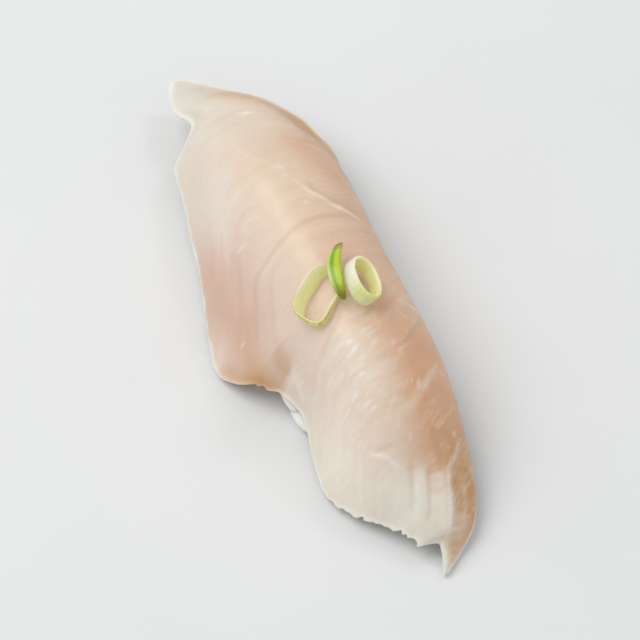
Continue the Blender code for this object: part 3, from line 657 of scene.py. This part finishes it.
def rim_loops(outer, inner, loop):
    """Loops of points round the slice's edge, from its top surface to its underside, on half a circle."""
    i, j = loop[:, 0], loop[:, 1]
    inward = outer[np.clip(i, 1, ALONG - 1), np.clip(j, 1, ACROSS - 1)]
    away = unit(outer[i, j] - inward)
    middle, half = (outer[i, j] + inner[i, j]) / 2, (outer[i, j] - inner[i, j]) / 2
    bulge = away * np.linalg.norm(half, axis=1, keepdims=True) * 2 * RIM_ROUND
    angles = math.pi * np.arange(1, RIM_STEPS + 1) / (RIM_STEPS + 1)
    return [middle + half * math.cos(a) + bulge * math.sin(a) for a in angles]


def add_object(name, data):
    """A new object in the scene, from a mesh, a light or a camera."""
    obj = bpy.data.objects.new(name, data)
    bpy.context.scene.collection.objects.link(obj)
    return obj


def new_piece(name, points, faces, finish):
    """A smooth-shaded piece from points in millimetres."""
    mesh = bpy.data.meshes.new(name)
    mesh.from_pydata((np.asarray(points) * MM).tolist(), [], faces)
    mesh.update()
    mesh.shade_smooth()
    mesh.materials.append(finish)
    return add_object(name, mesh)


def add_attribute(obj, name, values):
    layer = obj.data.attributes.new(name, "FLOAT", "POINT")
    layer.data.foreach_set("value", np.asarray(values, np.float32).ravel())


def grid_faces(rows, columns):
    """The faces of a grid, which face up where its rows run along +X and its columns along +Y."""
    i, j = np.meshgrid(np.arange(rows - 1), np.arange(columns - 1), indexing="ij")
    a = (i * columns + j).ravel()
    return np.column_stack((a, a + columns, a + columns + 1, a + 1))


def slice_faces(loop):
    """The faces of the top surface, of the rim round it and of the coarser underside."""
    width, top_count = ACROSS + 1, (ALONG + 1) * (ACROSS + 1)
    border = loop[:, 0] * width + loop[:, 1]
    ladder = [border] + [top_count + k * len(loop) + np.arange(len(loop)) for k in range(RIM_STEPS)]
    faces = grid_faces(ALONG + 1, width).tolist()
    for above, below in zip(ladder, ladder[1:]):
        faces += np.column_stack((np.roll(above, -1), above, below, np.roll(below, -1))).tolist()
    first = top_count + RIM_STEPS * len(loop)
    under_width = ACROSS // COARSER + 1
    faces += (first + grid_faces(ALONG // COARSER + 1, under_width)[:, ::-1]).tolist()
    under_border = first + loop[::COARSER, 0] // COARSER * under_width + loop[::COARSER, 1] // COARSER
    last = np.append(ladder[-1], ladder[-1][0])
    for k, (here, there) in enumerate(zip(under_border, np.roll(under_border, -1))):
        faces.append([there, *last[k * COARSER:(k + 1) * COARSER + 1][::-1].tolist(), here])
    return faces


def everywhere(values, loop):
    """The top surface's values, repeated round the rim and on the underside."""
    round_rim = values[loop[:, 0], loop[:, 1]]
    under = values[::COARSER, ::COARSER]
    return np.concatenate([values.ravel(), *[round_rim] * RIM_STEPS, under.ravel()])


def make_slice(finish):
    """The raw slice: one closed sheet with its relief on top and a plain underside."""
    base, near, far = outer_surface()
    normals = unit(np.cross(np.gradient(base, axis=0), np.gradient(base, axis=1)))
    relief, shares = flesh_marks(base, near, far)
    thick = EDGE_THICK + (THICK - EDGE_THICK) * smooth_step(np.minimum(near, far) / TAPER)
    thick = np.minimum(thick, np.maximum(base[..., 2] - LOWEST, LEAST_ROOM) * THICKEST_SHARE)
    inner = base - normals * thick[..., None]
    outer = base + normals * relief[..., None]
    loop = perimeter()
    under = inner[::COARSER, ::COARSER]
    points = np.vstack([outer.reshape(-1, 3), *rim_loops(outer, inner, loop), under.reshape(-1, 3)])
    points[:, 2] = np.maximum(points[:, 2], LOWEST)
    slice_piece = new_piece("albacore_slice_finish", points, slice_faces(loop), finish)
    for name, values in shares.items():
        add_attribute(slice_piece, name, everywhere(values, loop))
    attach(slice_piece, "root")
    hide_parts("albacore_slice")
    return slice_piece


def tree_of(obj):
    """An object's surface, in metres."""
    bm = bmesh.new()
    bm.from_mesh(obj.data)
    tree = BVHTree.FromBMesh(bm)
    bm.free()
    return tree


def grain_template():
    """A plump rice grain, 1 long and wide, a little bent and blunter at one end, and its faces."""
    points, faces = [(-0.5, 0.0, 0.0)], []
    for ring in range(1, GRAIN_RINGS):
        t = ring / GRAIN_RINGS
        place = -0.5 * math.cos(math.pi * t)
        half = 0.5 + GRAIN_FORM["blunter"] * math.sin(2 * math.pi * t)
        half *= math.sin(math.pi * t) ** GRAIN_FORM["roundness"]
        bend = GRAIN_FORM["bend"] * (1 - (2 * place) ** 2)
        for k in range(GRAIN_SIDES):
            angle = 2 * math.pi * k / GRAIN_SIDES
            rise = half * math.sin(angle) * GRAIN_FORM["height"]
            points.append((place, half * math.cos(angle) + bend, rise))
    points.append((0.5, 0.0, 0.0))
    last = len(points) - 1
    for k in range(GRAIN_SIDES):
        turn = (k + 1) % GRAIN_SIDES
        faces.append((0, 1 + turn, 1 + k))
        faces.append((last, last - GRAIN_SIDES + k, last - GRAIN_SIDES + turn))
        for ring in range(GRAIN_RINGS - 2):
            row = 1 + ring * GRAIN_SIDES
            faces.append((row + k, row + turn, row + GRAIN_SIDES + turn, row + GRAIN_SIDES + k))
    return np.array(points), faces


def notch_grain(template, x, y, z, rise):
    """A grain that stands out beside the notch, as (its points, its middle, its shade)."""
    turn = math.radians(rise)
    axes = ((math.cos(turn), 0, math.sin(turn)), (0, -1, 0), (-math.sin(turn), 0, math.cos(turn)))
    points = template * (GRAIN_LENGTH, GRAIN_WIDTH, GRAIN_WIDTH) @ np.array(axes) + (x, y, z)
    return points, Vector((x, y, z)), 1.0


def lying_grain(template, solid, face, picker):
    """A grain that lies anyhow on a face of the solid, as (its points, its middle, its shade)."""
    corners = [solid.data.vertices[v].co for v in face.vertices]
    cuts = sorted((picker.random(), picker.random()))
    spot = corners[0] * cuts[0] + corners[1] * (cuts[1] - cuts[0]) + corners[2] * (1 - cuts[1])
    outwards = face.normal.copy()
    anywhere = Vector([picker.gauss(0, 1) for _ in range(3)])
    length = GRAIN_LENGTH * picker.uniform(*GRAIN_LONGER)
    width = GRAIN_WIDTH * picker.uniform(*GRAIN_WIDER)
    shade = picker.random()
    tilt = outwards * picker.gauss(0, GRAIN_TILT)
    lengthwise = (outwards.cross(anywhere).normalized() + tilt).normalized()
    sideways = outwards.cross(lengthwise).normalized()
    axes = np.array((lengthwise, sideways, lengthwise.cross(sideways)))
    centre = spot / MM + outwards * (GRAIN_SKIN - width * GRAIN_SUNK)
    points = template * (length, width, width) @ axes + np.array(centre)
    points[:, 2] = np.maximum(points[:, 2], GRAIN_FLOOR)
    return points, centre, shade


def gap_to(tree, points):
    """A grain's least gap to the slice, up to GRAIN_GAP: negative where it reaches into it."""
    least = GRAIN_GAP
    for p in points[::GRAIN_MEASURED]:
        hit, normal, _, distance = tree.find_nearest(Vector(p) * MM)
        inside = (Vector(p) * MM - hit).dot(normal) < -distance / 2
        least = min(least, -distance / MM if inside else distance / MM)
    return least


def make_rice(finish, slice_tree):
    """Loose grains pressed over a core that follows the rice ball's solid."""
    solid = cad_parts["rice_ball"]
    picker = random.Random(SEED)
    template, template_faces = grain_template()
    placed = [notch_grain(template, *row) for row in NOTCH_GRAINS]
    polygons = list(solid.data.polygons)
    for face in picker.choices(polygons, weights=[p.area for p in polygons], k=GRAIN_TRIES):
        points, centre, shade = lying_grain(template, solid, face, picker)
        if any((centre - other).length < GRAIN_SPACING for _, other, _ in placed):
            continue
        gap = gap_to(slice_tree, points)
        if gap < GRAIN_GAP:
            if face.normal.z < GRAIN_TOP or gap < -GRAIN_PUSH:
                continue
            points -= np.array(face.normal) * (GRAIN_GAP - gap)
        placed.append((points, centre, shade))
    size = len(template)
    faces = [[k * size + v for v in face] for k in range(len(placed)) for face in template_faces]
    grains = new_piece("rice_grains", np.vstack([points for points, _, _ in placed]), faces, finish)
    add_attribute(grains, "grain_shade", np.repeat([shade for _, _, shade in placed], size))
    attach(grains, "root")
    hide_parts("rice_ball")
    make_rice_core(tree_of(solid), finish)


def make_rice_core(solid_tree, finish):
    """The sunken inside of the rice ball, seen only between its grains."""
    low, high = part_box("rice_ball")
    middle = (low + high) / 2
    bm = bmesh.new()
    bmesh.ops.create_icosphere(bm, subdivisions=5, radius=1.0)
    for vertex in bm.verts:
        direction = Vector([share * (top - bottom) for share, top, bottom in zip(vertex.co, high, low)])
        along_x = middle.x + direction.x * CORE_START["spread"]
        start = Vector((along_x, middle.y, middle.z * CORE_START["height"]))
        way = (middle + direction / 2 - start).normalized()
        hit, _, _, distance = solid_tree.ray_cast(start, way)
        bumps = CORE_BUMPS["height"] * noise.noise(vertex.co * CORE_BUMPS["fineness"])
        reach = max(0.0, distance / MM - CORE_SHRINK + bumps) if hit is not None else 0.0
        spot = start + way * reach * MM
        spot.z = max(spot.z, CORE_FLOOR * MM)
        vertex.co = spot
    mesh = bpy.data.meshes.new("rice_core")
    bm.to_mesh(mesh)
    bm.free()
    mesh.shade_smooth()
    mesh.materials.append(finish)
    core = add_object("rice_core", mesh)
    add_attribute(core, "grain_shade", np.full(len(mesh.vertices), CORE_SHADE))
    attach(core, "root")
    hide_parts("rice_ball")


def refined(node, finish, levels):
    """A finer, rounder copy of a node, with its points in millimetres and their normals."""
    bm = bmesh.new()
    bm.from_mesh(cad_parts[node].data)
    bmesh.ops.remove_doubles(bm, verts=bm.verts, dist=WELD * MM)
    bend = math.radians(JOIN_BEND)
    bmesh.ops.join_triangles(bm, faces=bm.faces, angle_face_threshold=bend, angle_shape_threshold=bend)
    coarse = bpy.data.meshes.new(node + "_coarse")
    bm.to_mesh(coarse)
    bm.free()
    obj = add_object(node + "_finish", coarse)
    finer = obj.modifiers.new("finer", "SUBSURF")
    finer.levels = finer.render_levels = levels
    smooth = bpy.data.meshes.new_from_object(obj.evaluated_get(bpy.context.evaluated_depsgraph_get()))
    obj.modifiers.clear()
    obj.data = smooth
    smooth.materials.clear()
    smooth.materials.append(finish)
    smooth.shade_smooth()
    return obj, read_vectors(smooth, "co") / MM, read_vectors(smooth, "normal")


def read_vectors(mesh, field):
    values = np.empty(len(mesh.vertices) * 3)
    mesh.vertices.foreach_get(field, values)
    return values.reshape(-1, 3)


def settle(obj, points, node, slot, **attributes):
    """Gives a piece its points, in millimetres, and its attributes, attaches it to the root and hides the
    part that it stands for.
    """
    obj.data.vertices.foreach_set("co", (points * MM).ravel())
    obj.data.update()
    for name, values in attributes.items():
        add_attribute(obj, name, values)
    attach(obj, "root")
    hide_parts(node)


def make_ring(node, finish, slot):
    """A cut scallion ring, with veins up its wall and the attributes that ring_material colours it by."""
    obj, points, normals = refined(node, finish, levels=2)
    centre = points.mean(0)
    axis = np.linalg.svd(points - centre, full_matrices=False)[2][2]
    axis *= np.sign(axis[2])
    spoke = points - centre
    height = spoke @ axis
    spoke -= height[:, None] * axis
    away = unit(spoke)
    facing = (normals * away).sum(1)
    level = np.cross(axis, (1.0, 0.0, 0.0))
    angle = np.arctan2(spoke @ level, spoke @ np.cross(level, axis))
    sway = RING_VEINS["sway"] * np.sin(angle * RING_VEINS["sways"])
    veins = np.sin(angle * RING_VEINS["coarse"] + sway)
    veins += RING_VEINS["fine_share"] * np.sin(angle * RING_VEINS["fine"])
    points = points + away * (VEIN_RISE * veins * np.abs(facing) + sway_of(points, WALL_SWAY, 0.0))[:, None]
    points += axis * (sway_of(points, RIM_SWAY, 4.0) * np.sign(height))[:, None]
    forward = points @ np.array(GREENER_SIDE)
    settle(
        obj, points, node, slot, inner=0.5 - 0.5 * facing, vein=0.5 + 0.3 * veins,
        top=(height - height.min()) / np.ptp(height), front=(forward - forward.min()) / np.ptp(forward),
    )


def make_curl(finish):
    """The green curl, hollowed lengthwise like the strip of leaf that it is."""
    obj, points, normals = refined("scallion_curl", finish, levels=3)
    offset = points - points.mean(0)
    lengthwise, crosswise, face = np.linalg.svd(offset, full_matrices=False)[2]
    face *= np.sign(face[2])
    s, across = offset @ lengthwise, offset @ crosswise
    across -= np.polyval(np.polyfit(s, across, 2), s)
    s /= np.abs(s).max()
    taper = 1 - s ** 2
    across = np.clip(across / (np.abs(across).max() * np.sqrt(np.clip(taper, CURL_NARROWEST, 1))), -1, 1)
    upper = smooth_step((normals @ face - CURL_HOLLOW["from"]) / CURL_HOLLOW["over"])
    points = points - face * (CURL_HOLLOW["depth"] * (1 - across ** 2) * upper * taper)[:, None]
    veins = np.sin(across * CURL_VEINS["count"] + sway_of(points, CURL_VEINS["sway"], 0.0))
    points += normals * (VEIN_RISE * veins)[:, None]
    settle(obj, points, "scallion_curl", "scallion_green", across=across, lengthwise=s)


class Nodes:
    """A material's node tree, with short ways to add and link nodes."""

    def __init__(self, name):
        self.material = bpy.data.materials.new(name)
        self.material.use_nodes = True
        self.tree = self.material.node_tree
        self.shader = self.tree.nodes["Principled BSDF"]

    def add(self, kind, **settings):
        node = self.tree.nodes.new(kind)
        for key, value in settings.items():
            setattr(node, key, value)
        return node

    def feed(self, source, target):
        """Gives an input a number, a colour, a named attribute or another socket's value."""
        if isinstance(source, str):
            source = self.add("ShaderNodeAttribute", attribute_name=source).outputs["Fac"]
        if isinstance(source, float):
            target.default_value = source
        elif isinstance(source, tuple):
            target.default_value = (*source, 1.0)
        else:
            self.tree.links.new(source, target)

    def noise(self, size, detail=3.0, stretch=(1.0, 1.0, 1.0)):
        """Noise with lumps of a size in millimetres, in the piece's own space."""
        place = self.add("ShaderNodeTexCoord").outputs["Object"]
        scaled = self.add("ShaderNodeVectorMath", operation="MULTIPLY")
        scaled.inputs[1].default_value = [1.0 / (size * MM * s) for s in stretch]
        self.feed(place, scaled.inputs[0])
        texture = self.add("ShaderNodeTexNoise")
        texture.inputs["Scale"].default_value = 1.0
        texture.inputs["Detail"].default_value = detail
        self.feed(scaled.outputs[0], texture.inputs["Vector"])
        return texture.outputs["Fac"]

    def ranged(self, value, low, high, to_low=0.0, to_high=1.0):
        node = self.add("ShaderNodeMapRange")
        for key, number in (("From Min", low), ("From Max", high), ("To Min", to_low), ("To Max", to_high)):
            node.inputs[key].default_value = number
        self.feed(value, node.inputs["Value"])
        return node.outputs["Result"]

    def mixed(self, share, a, b):
        """The colour that lies between a and b by a share of b."""
        node = self.add("ShaderNodeMix", data_type="RGBA", clamp_factor=True)
        for key, source in ((0, share), (6, a), (7, b)):
            self.feed(source, node.inputs[key])
        return node.outputs[2]

    def maths(self, operation, a, b):
        node = self.add("ShaderNodeMath", operation=operation)
        self.feed(a, node.inputs[0])
        self.feed(b, node.inputs[1])
        return node.outputs[0]

    def bump(self, height, distance, strength=1.0):
        node = self.add("ShaderNodeBump")
        node.inputs["Distance"].default_value = distance * MM
        node.inputs["Strength"].default_value = strength
        self.feed(height, node.inputs["Height"])
        self.feed(node.outputs["Normal"], self.shader.inputs["Normal"])

    def finish(self, colour, roughness, **values):
        """Sets the shader: its roughness as (size of its noise, least, most), other sockets by name."""
        size, low, high = roughness
        self.feed(colour, self.shader.inputs["Base Color"])
        self.feed(self.ranged(self.noise(size), 0.3, 0.7, low, high), self.shader.inputs["Roughness"])
        for key, value in values.items():
            self.shader.inputs[key.replace("_", " ")].default_value = value
        return self.material


def flesh_material():
    """Raw albacore: pale cream to peach, whiter where cut thin, moist and a little see-through."""
    m = Nodes("albacore_flesh")
    looks = FLESH_LOOKS
    cream = m.mixed(m.ranged(m.noise(7.0), 0.3, 0.7), looks["cream"], looks["cloud"])
    # The near side's pinker cream is a painted sheen.
    cream = m.mixed("rosy", cream, looks["sheen_cream"])
    blush = m.maths("MULTIPLY", "blush", m.ranged(m.noise(4.0), 0.25, 0.75, 0.8, 1.1))
    pink = m.mixed("rosy", looks["blush"], looks["rosy_blush"])
    colour = m.mixed(blush, cream, pink)
    # Tan, mostly painted shade and painted warm reflected light over the flesh's own tan.
    colour = m.mixed("tan_and_shade", colour, looks["tan_and_shade"])
    grain = m.ranged(m.noise(0.8, 4.0, (1.0, 3.0, 3.0)), 0.3, 0.7, -0.10, 0.10)
    # The pale share includes painted light: the wet ridges' glints, the sheen and the light inside the ring,
    # and part of the cut edge's brightness.
    colour = m.mixed(m.maths("ADD", "pale", grain), colour, looks["pale"])
    colour = m.mixed(m.maths("MULTIPLY", "thin", 0.8), colour, looks["thin"])
    # White patches on the cut edge, partly painted highlight.
    colour = m.mixed(m.maths("MULTIPLY", "white", 0.6), colour, looks["white"])
    # Where the paleness is negative the flesh turns to the shade colour: the seams' own darkness, and
    # painted shade in the creases, along the lobe's edge and in the painted-shade patches.
    colour = m.mixed(m.ranged("pale", -0.6, 0.0, 0.30, 0.0), colour, looks["shade"])
    m.bump(m.noise(0.5, 3.0, (1.0, 2.0, 2.0)), 0.02, 0.5)
    return m.finish(
        colour, (1.5, 0.38, 0.52), IOR=1.38, Coat_Weight=0.25, Coat_Roughness=0.20,
        Subsurface_Weight=0.35, Subsurface_Scale=0.0035, Subsurface_Radius=(1.0, 0.5, 0.3),
    )


def rice_material():
    """Cooked rice: glossy white grains, a little see-through, each of its own shade."""
    m = Nodes("rice_grain")
    colour = m.mixed("grain_shade", RICE_LOOKS["dull"], RICE_LOOKS["bright"])
    cloud = m.ranged(m.noise(1.6), 0.35, 0.65, 0.0, 0.35)
    colour = m.mixed(cloud, colour, RICE_LOOKS["cloud"])
    m.bump(m.noise(0.4, 2.0), 0.015, 0.5)
    return m.finish(
        colour, (1.0, 0.26, 0.42), IOR=1.4, Coat_Weight=0.1, Coat_Roughness=0.2,
        Subsurface_Weight=0.4, Subsurface_Scale=0.0015, Subsurface_Radius=(1.0, 0.8, 0.6),
    )


def ring_material(name, looks):
    """Cut scallion: its skin and the inside of its wall, which change lower down, its veins and its rim."""
    m = Nodes(name)
    down = m.ranged("top", 0.85, 0.1)
    outside = m.mixed(m.maths("MULTIPLY", down, 0.9), looks["skin"], looks["skin_low"])
    outside = m.mixed(m.ranged("front", 0.50, 0.85, 0.0, 0.8), outside, looks["low"])
    inside = m.mixed(down, looks["inside"], looks["inside_low"])
    colour = m.mixed(m.ranged("inner", 0.35, 0.75), outside, inside)
    colour = m.mixed(m.ranged(m.noise(1.8), 0.4, 0.7, 0.0, 0.40), colour, looks["patch"])
    colour = m.mixed(m.ranged("vein", 0.0, 1.0, 0.0, 0.22), colour, looks["vein"])
    rim = m.ranged("top", 0.80, 0.97)
    rim_colour = m.mixed(m.ranged("front", 0.55, 0.80), looks["rim"], looks["rim_low"])
    colour = m.mixed(m.maths("MULTIPLY", rim, 0.85), colour, rim_colour)
    m.bump(m.noise(0.25, 2.0), 0.01, 0.5)
    return m.finish(
        colour, (0.7, 0.20, 0.36), IOR=1.4, Coat_Weight=0.25, Coat_Roughness=0.15,
        Subsurface_Weight=0.8, Subsurface_Scale=0.002, Subsurface_Radius=(0.9, 1.0, 0.45),
    )


def curl_material():
    """Green leaf: bright in the middle, dark beside its pale edge, which is a painted highlight, and olive
    at its other edge, partly painted shade, and at its tips.
    """
    m = Nodes("scallion_green_strip")
    colour = CURL_LIT_AND_SHADED_BANDS[0][1]
    for (start, _), (end, shade) in zip(CURL_LIT_AND_SHADED_BANDS, CURL_LIT_AND_SHADED_BANDS[1:]):
        colour = m.mixed(m.ranged("across", start, end), colour, shade)
    streak = m.ranged(m.noise(0.35, 3.0, (1.0, 4.0, 1.0)), 0.35, 0.7, 0.0, 0.30)
    colour = m.mixed(streak, colour, CURL_STREAK)
    tips = m.ranged(m.maths("ABSOLUTE", "lengthwise", 0.0), 0.55, 0.88)
    colour = m.mixed(tips, colour, CURL_TIPS)
    return m.finish(
        colour, (0.8, 0.22, 0.36), IOR=1.4, Coat_Weight=0.3, Coat_Roughness=0.12,
        Subsurface_Weight=0.25, Subsurface_Scale=0.001, Subsurface_Radius=(0.6, 1.0, 0.2),
    )


def make_stage():
    """The floor, the sky and the lights."""
    m = Nodes("floor_finish")
    colour = m.mixed(m.ranged(m.noise(60.0), 0.3, 0.7), *FLOOR_LOOKS)
    m.feed(colour, m.shader.inputs["Base Color"])
    m.feed(FLOOR_ROUGHNESS, m.shader.inputs["Roughness"])
    mesh = bpy.data.meshes.new("floor")
    a, b = -FLOOR_REACH, FLOOR_REACH
    mesh.from_pydata([(a, a, 0), (b, a, 0), (b, b, 0), (a, b, 0)], [], [(0, 1, 2, 3)])
    mesh.materials.append(m.material)
    floor = add_object("floor", mesh)

    world = bpy.data.worlds.new("surroundings")
    bpy.context.scene.world = world
    world.use_nodes = True
    sky = world.node_tree.nodes["Background"]
    sky.inputs["Color"].default_value = SKY_COLOUR
    sky.inputs["Strength"].default_value = SKY_STRENGTH
    for light in LIGHTS:
        add_light(*light)


def add_light(name, place, size, power):
    """A soft round light that shines at the origin."""
    lamp = bpy.data.lights.new(name, "AREA")
    lamp.shape = "DISK"
    lamp.size = size
    lamp.energy = power
    add_aimed(name, lamp, Vector(place), Vector(place))


def add_aimed(name, data, place, back):
    """A light or a camera at a place, with a direction at its back."""
    obj = add_object(name, data)
    obj.location = place
    obj.rotation_mode = "QUATERNION"
    obj.rotation_quaternion = (-back).to_track_quat("-Z", "Y")
    return obj


def make_camera():
    azimuth, elevation = math.radians(VIEW_AZIMUTH), math.radians(VIEW_ELEVATION)
    level = math.cos(elevation)
    back = Vector((math.sin(azimuth) * level, -math.cos(azimuth) * level, math.sin(elevation)))
    lens = bpy.data.cameras.new("camera")
    lens.lens = VIEW_LENS
    lens.clip_start = VIEW_CLIP
    scene = bpy.context.scene
    scene.camera = add_aimed("camera", lens, Vector(VIEW_MIDDLE) * MM + back * VIEW_DISTANCE, back)
    scene.view_settings.view_transform = "Standard"


make_camera()
make_stage()
slice_piece = make_slice(flesh_material())
make_rice(rice_material(), tree_of(slice_piece))
make_ring("scallion_oval", ring_material("scallion_pale_wall", OVAL_LOOKS), "scallion_pale")
make_ring("scallion_ring", ring_material("scallion_white_wall", RING_LOOKS), "scallion_white")
make_curl(curl_material())
